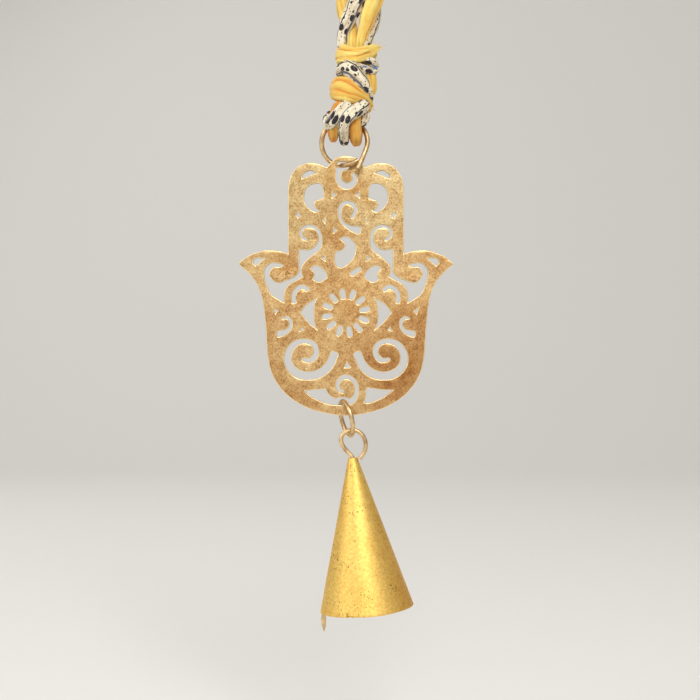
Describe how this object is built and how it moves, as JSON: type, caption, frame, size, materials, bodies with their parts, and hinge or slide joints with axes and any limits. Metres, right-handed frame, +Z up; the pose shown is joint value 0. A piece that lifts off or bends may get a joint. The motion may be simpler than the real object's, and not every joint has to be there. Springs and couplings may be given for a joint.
{
  "type": "hamsa wind chime",
  "caption": "Fretted hamsa hand cut from sheet metal, hung by a wire ring from a knotted cloth cord, with a rolled cone bell and wire clapper swinging from its lower rim.",
  "frame": {"origin": "the inner top of the cord's hanging loop, where a hook or nail carries the chime", "axes": "+Z up along the hanging chime, +X across the hand, the hand's face looking along -Y"},
  "size_m": [0.075, 0.0326, 0.2775],
  "materials": {
    "antique_gold": "antique gold, satin",
    "aged_wire": "aged gold wire, satin",
    "bell_gold": "brushed bright gold",
    "yellow_cloth": "plain woven",
    "printed_cloth": "plain woven, printed with dark spots"
  },
  "bodies": {
    "cord": {"hitch_yellow_left": "yellow_cloth", "hitch_yellow_right": "yellow_cloth", "hitch_print_centre": "printed_cloth", "hitch_print_left": "printed_cloth", "plait_yellow_right": "yellow_cloth", "plait_print_left": "printed_cloth", "plait_yellow_left": "yellow_cloth", "plait_print_right": "printed_cloth", "knot_heart": "yellow_cloth", "knot_wrap_yellow_lower": "yellow_cloth", "knot_wrap_print": "printed_cloth", "knot_wrap_yellow_upper": "yellow_cloth", "top_knot": "yellow_cloth", "hanging_loop_yellow": "yellow_cloth", "hanging_loop_print": "printed_cloth"},
    "ring": {"top_ring": "aged_wire"},
    "hand": {"hamsa_plate": "antique_gold"},
    "link": {"link_ring": "aged_wire"},
    "bell": {"bell_eye_wire": "aged_wire", "bell_cone": "bell_gold"},
    "striker": {"clapper": "aged_wire"}
  },
  "joints": [
    {"name": "ring_swing", "type": "hinge", "parent": "cord", "child": "ring", "pos_m": [-0.0064, 0, -0.0955], "axis": [1, 0, 0], "range_deg": [-35, 35]},
    {"name": "hand_swing", "type": "hinge", "parent": "ring", "child": "hand", "pos_m": [-0.0059, 0, -0.1091], "axis": [1, 0, 0], "range_deg": [-15, 15]},
    {"name": "link_swing", "type": "hinge", "parent": "hand", "child": "link", "pos_m": [-0.0071, 0, -0.19475], "axis": [1, 0, 0], "range_deg": [-20, 20]},
    {"name": "bell_swing", "type": "hinge", "parent": "link", "child": "bell", "pos_m": [-0.00429, 0, -0.20532], "axis": [0, 1, 0], "range_deg": [-45, 45]},
    {"name": "clapper_swing", "type": "hinge", "parent": "bell", "child": "striker", "pos_m": [-0.00229, 0, -0.22653], "axis": [0, 1, 0], "range_deg": [-40, 0]}
  ]
}
